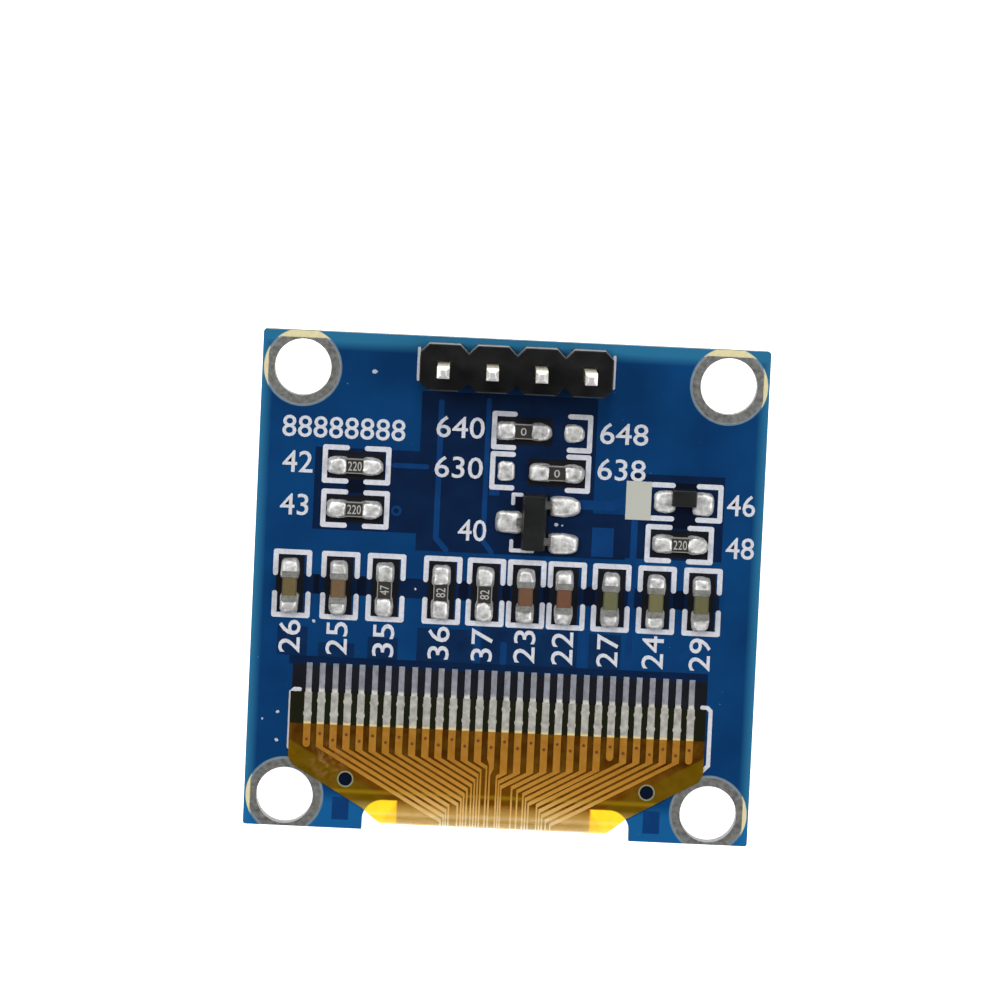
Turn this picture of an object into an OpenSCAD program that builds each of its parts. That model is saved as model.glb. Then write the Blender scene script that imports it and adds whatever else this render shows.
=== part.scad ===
// Small OLED display module: a blue carrier board with its parts on the back, a four pin header,
// and a glass panel on the front whose flexible tail folds round the board's edge and is soldered
// to a row of fingers.  The module lies on its display, +Z is the component side, +Y is the header
// side.  The origin is the middle of the board's outline, at the level of the display's outer face.
// Millimetres.

/* [Board] */
// Width of the board, along X
board_w = 26.8; // [26.8:0.1:27.4]
// Height of the board, along Y
board_h = 26.3; // [26.1:0.1:27.2]
// Thickness of the board
board_t = 1.2; // [0.8:0.2:1.6]
// Radius of the board's outer corners
board_corner_r = 0.15; // [0.1:0.05:0.3]
// Width of the notch that the tail passes through
notch_w = 14.2; // [13.4:0.1:14.4]
// Depth of the notch from the board's edge
notch_depth = 1.6; // [1.4:0.1:1.8]
// Radius of the notch's inner corners
notch_corner_r = 1.1; // [0.6:0.1:1.3]

/* [Mounting holes] */
// Diameter of the four mounting holes
hole_d = 3; // [2:0.1:3]
// Distance of the hole centres from the left and right edges
hole_inset_x = 2.15; // [2:0.05:2.3]
// Distance of the upper hole centres from the header edge
hole_inset_top = 1.93; // [1.8:0.05:2.1]
// Distance of the lower hole centres from the notched edge
hole_inset_bottom = 1.63; // [1.6:0.05:1.9]
// Width of the tinned ring round each hole
ring_w = 0.5; // [0.3:0.05:0.55]
// Least distance from a ring to the left and right edges
ring_setback = 0.33; // [0.1:0.01:0.4]
// Least distance from a ring to the header edge
ring_setback_top = 0.36; // [0.1:0.01:0.36]
// Least distance from a ring to the notched edge
ring_setback_bottom = 0.03; // [0.02:0.01:0.08]
// Thickness of the tinned copper: rings, lands and pads
land_t = 0.03; // [0.02:0.005:0.05]
// Thickness of the plating on the holes' walls
plating_t = 0.03; // [0.02:0.005:0.04]

/* [Display panel] */
// Distance of the glass inside the board's left and right edges
panel_inset = 0.05; // [0:0.05:0.3]
// Height of the front glass
panel_h = 19.26; // [19:0.02:19.4]
// Thickness of the front glass
front_glass_t = 0.6; // [0.5:0.05:0.7]
// Thickness of the rear cover glass
cover_glass_t = 0.65; // [0.5:0.05:0.7]
// Height of the bare ledge that carries the driver and the tail
ledge_h = 2.8; // [2.6:0.1:3.2]
// Thickness of the polariser film on the front
polariser_t = 0.2; // [0.1:0.05:0.25]
// Margin of the polariser inside the glass
polariser_margin = 0.4; // [0.2:0.1:0.6]
// Width of the lit area
view_w = 21.74; // [20:0.02:22.4]
// Height of the lit area
view_h = 10.86; // [10:0.02:11.4]
// Thickness of the light emitting layer
emitter_t = 0.05; // [0.03:0.01:0.1]
// Length of the driver chip on the ledge
driver_l = 10; // [8:0.5:11]
// Width of the driver chip
driver_w = 0.9; // [0.7:0.05:1]
// Thickness of the driver chip
driver_t = 0.3; // [0.25:0.05:0.4]

/* [Mounting tape] */
// Thickness of the foam tape between panel and board
tape_t = 0.3; // [0.25:0.05:0.5]
// Width of the foam tape
tape_w = 22; // [16:0.5:24]
// Height of the foam tape
tape_h = 13; // [8:0.5:14]

/* [Flexible tail] */
// Thickness of the tail's film
film_t = 0.08; // [0.06:0.01:0.1]
// Half of the film's width where it is soldered
film_half_w = 11.02; // [10.8:0.02:11.1]
// Half of the film's width at the fold's outermost line
fold_half_w = 5.95; // [5.6:0.05:6.1]
// Half of the film's width in front, where it reaches the glass
neck_half_w = 5.1; // [4.9:0.05:5.4]
// Sideways place of the tail's middle line
tail_x = -0.13; // [-0.2:0.01:0.2]
// Distance of the film's end from the notched edge
film_reach = 7.2; // [7:0.05:7.4]
// Distance from the notched edge to where the film's sides turn in
shoulder_reach = 3.41; // [3.36:0.01:3.6]
// Bevel on the film's shoulders
shoulder_bevel = 0.3; // [0.1:0.05:0.5]
// Distance of the fold's outermost line inside the notched edge
fold_inset = 0.2; // [0.1:0.02:0.24]
// Diameter of the two locating holes in the film
film_hole_d = 0.72; // [0.5:0.02:0.9]
// Distance of the locating holes from the middle of the fingers
film_hole_x = 8; // [7.6:0.05:8.2]
// Distance of the locating holes from the notched edge
film_hole_reach = 2.64; // [2.5:0.02:2.8]
// Overlap of the film on the glass ledge
bond_overlap = 1.4; // [1.1:0.1:1.5]
// Thickness of the conductive bond between film and glass
bond_t = 0.02; // [0.015:0.005:0.03]

/* [Fingers and traces] */
// Distance between neighbouring fingers
finger_pitch = 0.7; // [0.69:0.002:0.71]
// Distance of the fingers' middle from the tail's middle line
finger_shift = 0.07; // [-0.1:0.01:0.1]
// Width of a finger on the film
finger_w = 0.38; // [0.3:0.01:0.42]
// Diameter of the rounded swelling on a finger
finger_swell_d = 0.46; // [0.44:0.01:0.5]
// Length of the bare fingers
finger_l = 1.7; // [1.6:0.05:1.8]
// Thickness of the fingers and traces over the film
trace_t = 0.02; // [0.01:0.005:0.03]
// Width of a land on the board
finger_land_w = 0.3; // [0.24:0.01:0.34]
// Length of a land beyond the film's end
finger_land_l = 1.55; // [1.4:0.05:1.6]
// Length of the solder heel at the film's end
heel_l = 0.22; // [0.15:0.01:0.3]
// Width of a trace on its slanting run
trace_w = 0.19; // [0.14:0.01:0.22]
// Width of a trace in the bundle that goes round the fold
bundle_trace_w = 0.09; // [0.07:0.01:0.1]

/* [Pin header] */
// Distance between neighbouring pins
pin_pitch = 2.54; // [2.5:0.01:2.58]
// Side of the square pins
pin_side = 0.64; // [0.6:0.02:0.66]
// Height of the pin tips over the board
pin_rise = 8.6; // [7:0.1:9]
// Length of the pin tails below the board
pin_tail = 1.3; // [1.1:0.1:1.4]
// Length of the taper on a pin's end
pin_taper = 0.35; // [0.2:0.05:0.5]
// Depth of the housing, along Y
housing_d = 2.46; // [2.3:0.02:2.54]
// Height of the housing
housing_h = 2.54; // [2:0.1:2.8]
// Chamfer on the corners of each housing unit
housing_chamfer = 0.45; // [0.3:0.05:0.6]
// Distance of the pin row from the header edge
header_inset = 1.51; // [1.4:0.01:1.6]
// Diameter of the plated pin holes
pin_hole_d = 1; // [0.96:0.02:1.1]
// Diameter of the solder joints at the board
joint_d = 1.7; // [1.4:0.05:1.9]
// Height of the solder joints
joint_h = 0.8; // [0.5:0.05:1]

/* [Chip parts] */
// Length of a chip resistor or capacitor
chip_l = 1.6; // [1.5:0.05:1.7]
// Width of a chip resistor or capacitor
chip_w = 0.84; // [0.75:0.01:0.88]
// Thickness of a chip resistor
resistor_t = 0.45; // [0.4:0.01:0.55]
// Thickness of a chip capacitor
capacitor_t = 0.8; // [0.6:0.01:0.85]
// Length of the metal end caps
cap_end_l = 0.32; // [0.25:0.01:0.4]
// Thickness of the metal end caps
cap_end_t = 0.03; // [0.02:0.005:0.05]
// Gap between a resistor's black coat and its end caps
coat_gap = 0.02; // [0.01:0.01:0.05]
// Width of a solder land
solder_w = 0.96; // [0.9:0.02:1]
// Length of a solder fillet beyond the chip
fillet_l = 0.52; // [0.4:0.02:0.58]

/* [Regulator] */
// Width of the regulator's body
regulator_w = 1.3; // [1.2:0.02:1.36]
// Length of the regulator's body
regulator_l = 2.9; // [2.8:0.02:3]
// Thickness of the regulator's body
regulator_t = 0.95; // [0.8:0.05:1.1]
// Gap between the regulator's body and the board
regulator_standoff = 0.08; // [0.05:0.01:0.12]
// Width of the regulator's leads
regulator_lead_w = 0.42; // [0.36:0.02:0.5]
// Reach of the leads' bend beyond the regulator's body
regulator_lead_out = 0.28; // [0.24:0.01:0.32]
// Length of the leads' feet on their lands
regulator_foot_l = 0.3; // [0.2:0.01:0.35]
// Inset of the regulator's top and bottom against its middle
regulator_draft = 0.1; // [0.05:0.01:0.12]
// Thickness of the leads of the regulator and the diode
lead_t = 0.12; // [0.1:0.01:0.16]

/* [Diode] */
// Length of the diode's body
diode_l = 1.3; // [1.1:0.05:1.35]
// Width of the diode's body
diode_w = 0.84; // [0.7:0.02:0.9]
// Thickness of the diode's body
diode_t = 0.6; // [0.5:0.02:0.7]

/* [White print] */
// Thickness of the printed marks
print_t = 0.02; // [0.01:0.005:0.025]
// Width of the printed lines
print_w = 0.27; // [0.2:0.01:0.3]
// Length of an outline round a chip, over its lines' middle
outline_l = 3.35; // [3.3:0.05:3.45]
// Width of an outline round a chip, over its lines' middle
outline_w = 1.77; // [1.7:0.01:1.8]
// Opening in the sides of an outline round a chip
outline_gap = 1.06; // [0.9:0.02:1.2]

/* [Hidden] */
$fn = 32;
EPS = 0.01;
PIN_COUNT = 4;
FINGER_COUNT = 30;

// Levels, from the display's outer face up
z_front_glass = polariser_t;
z_ledge = z_front_glass + front_glass_t;
z_tape = z_ledge + cover_glass_t;
z_board = z_tape + tape_t;
z_top = z_board + board_t;

// Board edges and the hole centres
edge_x = board_w / 2;
edge_top = board_h / 2;
edge_bottom = -board_h / 2;
notch_y = edge_bottom + notch_depth;
bore_d = hole_d + 2 * plating_t;
hole_x = edge_x - hole_inset_x;
hole_y_top = edge_top - hole_inset_top;
hole_y_bottom = edge_bottom + hole_inset_bottom;
HOLES = [[-hole_x, hole_y_top], [hole_x, hole_y_top], [-hole_x, hole_y_bottom], [hole_x, hole_y_bottom]];
ring_r = hole_d / 2 + ring_w;

// The panel
panel_w = board_w - 2 * panel_inset;
panel_bottom = -panel_h / 2;
cover_bottom = panel_bottom + ledge_h;
cover_h = panel_h - ledge_h;
bond_y = panel_bottom + bond_overlap;

// The tail: its flat part lies on the lands, its front part on the bond
film_z = z_top + land_t;
film_front_z = z_ledge + bond_t;
fold_inner_r = (film_z - film_front_z - film_t) / 2;
fold_r = fold_inner_r + film_t;
fold_z = film_front_z + fold_r;
fold_apex_y = edge_bottom + fold_inset;
fold_y = fold_apex_y + fold_r + trace_t;
film_end_y = edge_bottom + film_reach;
shoulder_y = edge_bottom + shoulder_reach;
finger_end_y = film_end_y - finger_l;
trace_stop_y = panel_bottom - 0.1;
locator_half_w = film_half_w + 0.11;
// Where the slanting sides of the film cross the notch's sides
waist_half_w = notch_w / 2 - 0.1;
waist_y = edge_bottom + 1.15;

// Fingers: the first, the twenty-fourth and the last end blind
finger_middle = tail_x + finger_shift;
BLIND_FINGERS = [0, 23, 29];
STRAIGHT_FINGER = 14;
blind_reach = 2.95;
straight_reach = 3.65;
// How far from the film's end the traces of a group start to slant, and the step to the next one
LEFT_GROUP = [1:13];
LEFT_BEND = 2.9;
LEFT_STEP = 0.035;
MIDDLE_GROUP = [15:22];
MIDDLE_BEND = 3.9;
MIDDLE_STEP = -0.055;
RIGHT_GROUP = [24:28];
RIGHT_BEND = 3.03;
RIGHT_STEP = -0.03;
trace_slope = 0.56;
// Places of the traces in the bundle round the fold, from the middle of the fingers
LEFT_BUNDLE = [-2.87, -2.72, -2.6, -2.46, -1.99, -1.81, -1.68, -1.52, -1.3, -1.14, -0.99, -0.84, -0.54];
STRAIGHT_PLACE = -0.37;
MIDDLE_BUNDLE = [0.01, 0.14, 0.26, 0.84, 1.14, 1.46, 1.61, 1.76];
RIGHT_BUNDLE = [2.21, 2.36, 2.51, 2.71, 2.96];

// Header
header_y = edge_top - header_inset;
pin_tip_z = z_top + pin_rise;
pin_end_z = z_board - pin_tail;

// Chips: middle of the body, and turn: 0 lies along X, 90 along Y
ROW_Y = -0.35;
RESISTORS = [
    [-8.22, 3.84, 0], [-8.28, 6.13, 0], [2.39, 6.23, 0], [0.53, 8.36, 0],
    [-6.43, ROW_Y, 90], [-3.45, ROW_Y, 90], [-1.13, ROW_Y, 90], [9.07, 2.75, 0]
];
CAPACITORS = [
    [5.53, ROW_Y, 90], [3.07, ROW_Y, 90], [1.03, ROW_Y, 90], [7.93, ROW_Y, 90],
    [-8.88, ROW_Y, 90], [-11.45, ROW_Y, 90], [10.33, ROW_Y, 90]
];
SPARE_PADS = [[3.22, 8.36], [-0.28, 6.23]];
spare_pad_l = 1.0;
spare_pad_h = 0.22;
REGULATOR = [1.3, 3.58];
single_pad_x = -1.28;
twin_pad_x = 1.58;
regulator_pad_pitch = 1.94;
regulator_pad_l = 1.55;
regulator_pad_w = 1.14;
regulator_pad_h = 0.3;
DIODE = [9.18, 5.22];
diode_pad_x = 1.03;
diode_pad_shift = -0.24;
diode_pad_l = 1.1;
diode_pad_w = 1.2;
diode_pad_h = 0.22;
diode_block_x = 3.22;
diode_block_w = 1.34;
diode_mark_shift = 0.14;

// Outlines of the print: middle of each
OUTLINE_ROW_Y = -0.25;
OUTLINES = [
    [-8.18, 3.84, 0], [-8.2, 6.18, 0], [9.03, 2.75, 0],
    [-11.35, OUTLINE_ROW_Y, 90], [-8.8, OUTLINE_ROW_Y, 90], [-6.37, OUTLINE_ROW_Y, 90],
    [-3.39, OUTLINE_ROW_Y, 90], [-1.08, OUTLINE_ROW_Y, 90], [1.06, OUTLINE_ROW_Y, 90],
    [3.2, OUTLINE_ROW_Y, 90], [5.56, OUTLINE_ROW_Y, 90], [7.96, OUTLINE_ROW_Y, 90],
    [10.39, OUTLINE_ROW_Y, 90]
];
WIDE_OUTLINES = [[1.51, 6.23, 0], [1.51, 8.36, 0]];
wide_outline_l = 5.06;
wide_outline_gap = 2.94;

// ---- Plain shapes ----

module rounded_rect(w, h, r) {
    union() {
        square([w - 2 * r, h], center = true);
        square([w, h - 2 * r], center = true);
        for (x = [-1, 1], y = [-1, 1]) translate([x * (w / 2 - r), y * (h / 2 - r)]) circle(r = r);
    }
}

// A line with round ends from a to b
module stroke(a, b, w) {
    d = b - a;
    translate(a) circle(d = w, $fn = 16);
    translate(b) circle(d = w, $fn = 16);
    translate(a) rotate(atan2(d[1], d[0])) translate([0, -w / 2]) square([norm(d), w]);
}

// A block on the board's top, centred on x and y
module block(l, w, h, lift = 0) {
    translate([-l / 2, -w / 2, z_top + lift]) cube([l, w, h]);
}

module at(p) {
    translate([p[0], p[1], 0]) rotate([0, 0, len(p) > 2 ? p[2] : 0]) children();
}

// A crowned heap of solder on a land, flat underneath
module solder_heap(l, w, h) {
    profile = concat([[-l / 2, 0]], [for (i = [1:7]) let (a = 180 - i * 22.5)
        [l / 2 * cos(a), h * (0.35 + 0.65 * sin(a))]], [[l / 2, 0]]);
    translate([0, w / 2, z_top]) rotate([90, 0, 0]) linear_extrude(w) polygon(profile);
}

// A fillet that climbs a wall at x = 0, of the given reach, height and width
module fillet(reach, height, width) {
    profile = concat([[0, 0], [reach, 0]],
        [for (i = [0:5]) let (a = i * 18) [reach * cos(a), land_t + (height - land_t) * sin(a)]]);
    translate([0, width / 2, z_top]) rotate([90, 0, 0]) linear_extrude(width) polygon(profile);
}

// ---- Board ----

module board_outline() {
    difference() {
        rounded_rect(board_w, board_h, board_corner_r);
        translate([-notch_w / 2, edge_bottom - 1]) square([notch_w, notch_depth + 1 - notch_corner_r]);
        translate([-notch_w / 2 + notch_corner_r, edge_bottom - 1])
            square([notch_w - 2 * notch_corner_r, notch_depth + 1]);
        for (s = [-1, 1]) translate([s * (notch_w / 2 - notch_corner_r), notch_y - notch_corner_r])
            circle(r = notch_corner_r);
    }
}

module pcb() {
    color("royalblue") translate([0, 0, z_board]) difference() {
        linear_extrude(board_t) board_outline();
        for (p = HOLES) translate([p[0], p[1], -1]) cylinder(d = bore_d, h = board_t + 2, $fn = 64);
        for (i = [0:PIN_COUNT - 1]) translate([pin_x(i), header_y, -1])
            cylinder(d = pin_hole_d, h = board_t + 2, $fn = 32);
    }
}

// Plated hole: the plating of its wall and the ring on each face of the board, as one revolve
module plated_hole() {
    r = hole_d / 2;
    rotate_extrude($fn = 64) polygon([
        [r, z_board - land_t], [ring_r, z_board - land_t], [ring_r, z_board], [bore_d / 2, z_board],
        [bore_d / 2, z_top], [ring_r, z_top], [ring_r, z_top + land_t], [r, z_top + land_t]
    ]);
}

// The plated holes, their rings cut back from the board's edges
module mounting_rings() {
    color("gainsboro") intersection() {
        for (p = HOLES) translate([p[0], p[1], 0]) plated_hole();
        translate([-edge_x + ring_setback, edge_bottom + ring_setback_bottom, z_board - board_t])
            cube([board_w - 2 * ring_setback, board_h - ring_setback_top - ring_setback_bottom, 3 * board_t]);
    }
}

// ---- White print ----

// Two facing brackets, open for the given gap in the middle of the long sides
module outline_mark(l, w, gap) {
    for (s = [-1, 1]) {
        stroke([s * gap / 2, w / 2], [s * l / 2, w / 2], print_w);
        stroke([s * l / 2, w / 2], [s * l / 2, -w / 2], print_w);
        stroke([s * l / 2, -w / 2], [s * gap / 2, -w / 2], print_w);
    }
}

module diode_mark() {
    half = outline_w / 2;
    translate([DIODE[0] + diode_mark_shift, DIODE[1] + diode_pad_shift]) {
        for (y = [-half, half]) stroke([-1.8, y], [-0.76, y], print_w);
        translate([-diode_block_x, -half - print_w / 2]) square([diode_block_w, outline_w + print_w]);
        stroke([0.62, half], [1.78, half], print_w);
        stroke([1.78, half], [1.78, -half], print_w);
        stroke([1.78, -half], [0.62, -half], print_w);
    }
}

// Corner marks beside the regulator's single lead
module regulator_mark() {
    w = print_w * 0.75;
    translate(REGULATOR) {
        stroke([-1.15, 0.95], [-1.15, 1.42], w);
        stroke([-1.15, 1.42], [-0.72, 1.42], w);
        stroke([-1.15, -1.05], [-1.15, -1.54], w);
        stroke([-1.15, -1.54], [-0.02, -1.54], w);
    }
}

// Locating marks for the film's sides
module tail_marks() {
    w = print_w * 0.8;
    top = film_end_y + 0.1;
    foot = shoulder_y + 0.8;
    for (s = [-1, 1]) {
        stroke([s * (locator_half_w - 0.45), top], [s * (locator_half_w - 0.18), top], w);
        stroke([s * (locator_half_w - 0.18), top], [s * locator_half_w, top - 0.18], w);
        stroke([s * locator_half_w, top - 0.18], [s * locator_half_w, foot], w);
        stroke([s * locator_half_w, foot], [s * (locator_half_w - 0.3), foot - 0.3], w);
    }
}

module silkscreen() {
    color("white") translate([0, 0, z_top]) linear_extrude(print_t) {
        for (p = OUTLINES) at(p) outline_mark(outline_l, outline_w, outline_gap);
        for (p = WIDE_OUTLINES) at(p) outline_mark(wide_outline_l, outline_w, wide_outline_gap);
        diode_mark();
        regulator_mark();
        tail_marks();
    }
}

// ---- Pin header ----

function pin_x(i) = (i - (PIN_COUNT - 1) / 2) * pin_pitch;

// A unit for each pin, with a V notch between neighbours, drawn as one outline
module housing_outline() {
    w = pin_pitch / 2;
    d = housing_d / 2;
    c = housing_chamfer;
    near_side = concat([[pin_x(0) - w, c - d]], [for (i = [0:PIN_COUNT - 1])
        each [[pin_x(i) - w + c, -d], [pin_x(i) + w - c, -d], [pin_x(i) + w, c - d]]]);
    polygon(concat(near_side, [for (i = [len(near_side) - 1:-1:0]) [near_side[i][0], -near_side[i][1]]]));
}

module header_housing() {
    color("#1a1a1c") translate([0, header_y, z_top]) difference() {
        linear_extrude(housing_h) housing_outline();
        for (i = [0:PIN_COUNT - 1]) translate([pin_x(i) - pin_side / 2, -pin_side / 2, -1])
            cube([pin_side, pin_side, housing_h + 2]);
    }
}

// Side view of a pin: straight, with a taper at both ends
module pin_profile() {
    s = pin_side / 2;
    t = pin_side / 4;
    polygon([[-t, pin_end_z], [t, pin_end_z], [s, pin_end_z + pin_taper], [s, pin_tip_z - pin_taper],
             [t, pin_tip_z], [-t, pin_tip_z], [-s, pin_tip_z - pin_taper], [-s, pin_end_z + pin_taper]]);
}

module header_pin(i) {
    color("#d8c890") translate([pin_x(i), header_y, 0]) intersection() {
        translate([0, pin_side / 2, 0]) rotate([90, 0, 0]) linear_extrude(pin_side) pin_profile();
        translate([-pin_side / 2, 0, 0]) rotate([90, 0, 90]) linear_extrude(pin_side) pin_profile();
    }
}

// Solder fills each plated hole round its pin and stands as a cone on the display side
module header_solder() {
    color("silver") for (i = [0:PIN_COUNT - 1]) translate([pin_x(i), header_y, 0]) difference() {
        rotate_extrude() polygon([
            [0, z_board - joint_h], [pin_side * 0.8, z_board - joint_h],
            [joint_d * 0.34, z_board - joint_h * 0.6], [joint_d / 2, z_board - land_t],
            [joint_d / 2, z_board], [pin_hole_d / 2, z_board], [pin_hole_d / 2, z_top], [0, z_top]]);
        translate([-pin_side / 2, -pin_side / 2, z_board - joint_h - 1])
            cube([pin_side, pin_side, joint_h + board_t + 2]);
    }
}

// ---- Chip parts ----

// Ceramic body of a chip between its end caps, lifted by the caps' thickness
module chip_body(t) {
    block(chip_l - 2 * cap_end_t, chip_w - 2 * cap_end_t, t - 2 * cap_end_t, cap_end_t);
}

module resistor(i) {
    color("#26262a") at(RESISTORS[i]) union() {
        chip_body(resistor_t);
        block(chip_l - 2 * (cap_end_l + coat_gap), chip_w - 2 * cap_end_t, resistor_t - cap_end_t, cap_end_t);
    }
}

module capacitor(i) {
    color("#8a6a40") at(CAPACITORS[i]) chip_body(capacitor_t);
}

// Two metal caps that wrap the ends of a chip
module end_caps(t) {
    difference() {
        for (s = [-1, 1]) translate([s * (chip_l - cap_end_l) / 2, 0, 0]) block(cap_end_l, chip_w, t);
        chip_body(t);
    }
}

module chip_end_caps() {
    color("lightgray") {
        for (p = RESISTORS) at(p) end_caps(resistor_t);
        for (p = CAPACITORS) at(p) end_caps(capacitor_t);
    }
}

module chip_fillets(t) {
    for (s = [0, 180]) rotate([0, 0, s]) translate([chip_l / 2, 0, 0]) fillet(fillet_l, t * 0.85, solder_w);
}

// ---- Regulator and diode ----

module regulator_body() {
    draft = regulator_draft;
    w = regulator_w / 2;
    t = regulator_t;
    color("#202024") translate([REGULATOR[0], REGULATOR[1] + regulator_l / 2, z_top + regulator_standoff])
        rotate([90, 0, 0]) linear_extrude(regulator_l)
            polygon([[-w + draft, 0], [w - draft, 0], [w, t * 0.45],
                     [w - draft, t], [-w + draft, t], [-w, t * 0.45]]);
}

// A gull wing lead: out of the body's side, down, and flat on its land
module gull_lead() {
    w = regulator_w / 2;
    out = regulator_lead_out;
    foot = regulator_foot_l;
    high = regulator_standoff + regulator_t * 0.45;
    h = lead_t / 2;
    translate([0, regulator_lead_w / 2, z_top]) rotate([90, 0, 0]) linear_extrude(regulator_lead_w)
        polygon([[w - h, high - h], [w + out - lead_t, high - h], [w + out - lead_t, 0],
                 [w + out + foot, 0], [w + out + foot, lead_t], [w + out, lead_t],
                 [w + out, high + h], [w - h, high + h]]);
}

module regulator_leads() {
    color("silver") difference() {
        translate([REGULATOR[0], REGULATOR[1], 0]) {
            rotate([0, 0, 180]) gull_lead();
            for (s = [-1, 1]) translate([0, s * regulator_pad_pitch / 2, 0]) gull_lead();
        }
        regulator_body();
    }
}

module diode_body() {
    color("#2a2a26") at(DIODE) block(diode_l, diode_w, diode_t, lead_t);
}

// Flat leads under the diode's ends
module diode_leads() {
    color("silver") at(DIODE) for (s = [-1, 1]) translate([s * (diode_l / 2 + 0.02), 0, 0])
        block(0.5, diode_w * 0.6, lead_t);
}

// ---- Solder on the board ----

module regulator_solder() {
    difference() {
        for (p = [[single_pad_x, 0], [twin_pad_x, regulator_pad_pitch / 2],
                  [twin_pad_x, -regulator_pad_pitch / 2]])
            translate([REGULATOR[0] + p[0], REGULATOR[1] + p[1], 0])
                solder_heap(regulator_pad_l, regulator_pad_w, regulator_pad_h);
        regulator_leads();
        regulator_body();
    }
}

module diode_solder() {
    difference() {
        for (s = [-1, 1]) translate([DIODE[0] + s * diode_pad_x, DIODE[1] + diode_pad_shift, 0])
            solder_heap(diode_pad_l, diode_pad_w, diode_pad_h);
        diode_leads();
        diode_body();
    }
}

module component_solder() {
    color("gainsboro") {
        for (p = RESISTORS) at(p) chip_fillets(resistor_t);
        for (p = CAPACITORS) at(p) chip_fillets(capacitor_t);
        regulator_solder();
        diode_solder();
    }
}

module spare_pads() {
    color("gainsboro") for (p = SPARE_PADS) at(p) solder_heap(spare_pad_l, solder_w, spare_pad_h);
}

// ---- Fingers and tail ----

function finger_x(k) = finger_middle + (k - (FINGER_COUNT - 1) / 2) * finger_pitch;

module finger_lands() {
    color("gainsboro") translate([0, 0, z_top]) linear_extrude(land_t) for (k = [0:FINGER_COUNT - 1])
        translate([finger_x(k) - finger_land_w / 2, finger_end_y])
            square([finger_land_w, finger_l + finger_land_l]);
}

// A small heel of solder on each land against the film's end
module finger_solder() {
    color("white") for (k = [0:FINGER_COUNT - 1])
        translate([finger_x(k) - finger_land_w / 2, film_end_y, film_z]) rotate([90, 0, 90])
            linear_extrude(finger_land_w)
                polygon([[0, 0], [heel_l, 0], [heel_l * 0.7, film_t * 0.6], [0, film_t + trace_t]]);
}

// The film's path seen along X: over the board, round the fold, and back to the glass.
// It lies between the radii r0 and r1 of the fold, from back_end over the board to front_end.
module fold_section(r0, r1, back_end, front_end) {
    difference() {
        circle(r = r1, $fn = 96);
        circle(r = r0, $fn = 96);
        translate([0, -2 * r1]) square(4 * r1);
    }
    translate([0, r0]) square([back_end - fold_y, r1 - r0]);
    translate([0, -r1]) square([front_end - fold_y, r1 - r0]);
}

// A layer of the tail: child 0 is its plan over the board, child 1 its plan in front
module tail_layer(r0, r1, back_end, front_end) {
    intersection() {
        translate([-board_w / 2, fold_y, fold_z]) rotate([90, 0, 90]) linear_extrude(board_w)
            fold_section(r0, r1, back_end, front_end);
        union() {
            translate([0, 0, fold_z]) linear_extrude(2 * r1) children(0);
            translate([0, 0, fold_z - 2 * r1]) linear_extrude(2 * r1) children(1);
        }
    }
}

module film_back_plan() {
    beyond = fold_apex_y - 1;
    difference() {
        translate([tail_x, 0]) polygon([
            [-film_half_w, film_end_y], [-film_half_w, shoulder_y + shoulder_bevel],
            [-film_half_w + shoulder_bevel, shoulder_y - 0.45 * shoulder_bevel],
            [-waist_half_w, waist_y], [-fold_half_w, fold_apex_y], [-fold_half_w, beyond],
            [fold_half_w, beyond], [fold_half_w, fold_apex_y], [waist_half_w, waist_y],
            [film_half_w - shoulder_bevel, shoulder_y - 0.45 * shoulder_bevel],
            [film_half_w, shoulder_y + shoulder_bevel], [film_half_w, film_end_y]]);
        for (s = [-1, 1]) translate([finger_middle + s * film_hole_x, edge_bottom + film_hole_reach])
            circle(d = film_hole_d);
    }
}

module film_front_plan() {
    beyond = fold_apex_y - 1;
    translate([tail_x, 0]) polygon([
        [-fold_half_w, beyond], [-fold_half_w, fold_apex_y], [-neck_half_w, fold_y], [-neck_half_w, bond_y],
        [neck_half_w, bond_y], [neck_half_w, fold_y], [fold_half_w, fold_apex_y], [fold_half_w, beyond]]);
}

module flex_film() {
    color("#c07818") tail_layer(fold_inner_r, fold_r, film_end_y, bond_y) {
        film_back_plan();
        film_front_plan();
    }
}

// Bare fingers on the film, with a swelling near one end or the other in turn
module flex_fingers() {
    color("gainsboro") translate([0, 0, film_z + film_t]) linear_extrude(trace_t)
        for (k = [0:FINGER_COUNT - 1]) translate([finger_x(k), 0]) {
            translate([-finger_w / 2, finger_end_y]) square([finger_w, finger_l]);
            translate([0, film_end_y - (k % 2 == 1 ? 0.45 : 1.15)]) circle(d = finger_swell_d, $fn = 16);
        }
}

// A trace: down from finger k, slanting to its place in the bundle, and straight on over the fold
module slanting_trace(k, reach, place) {
    x = finger_x(k);
    target = finger_middle + place;
    s = target > x ? 1 : -1;
    bend_y = film_end_y - reach;
    half = trace_w / 2 * sqrt(1 + trace_slope * trace_slope);
    w = finger_w / 2;
    b = bundle_trace_w / 2;
    run = abs(target - x);
    translate([x, 0]) polygon([
        [-s * w, finger_end_y], [-s * w, bend_y + trace_slope * w - half],
        [s * (run - b), bend_y - trace_slope * (run - b) - half], [s * (run - b), fold_apex_y - 1],
        [s * (run + b), fold_apex_y - 1], [s * (run + b), bend_y - trace_slope * (run + b) + half],
        [s * w, bend_y - trace_slope * w + half], [s * w, finger_end_y]]);
}

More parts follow.
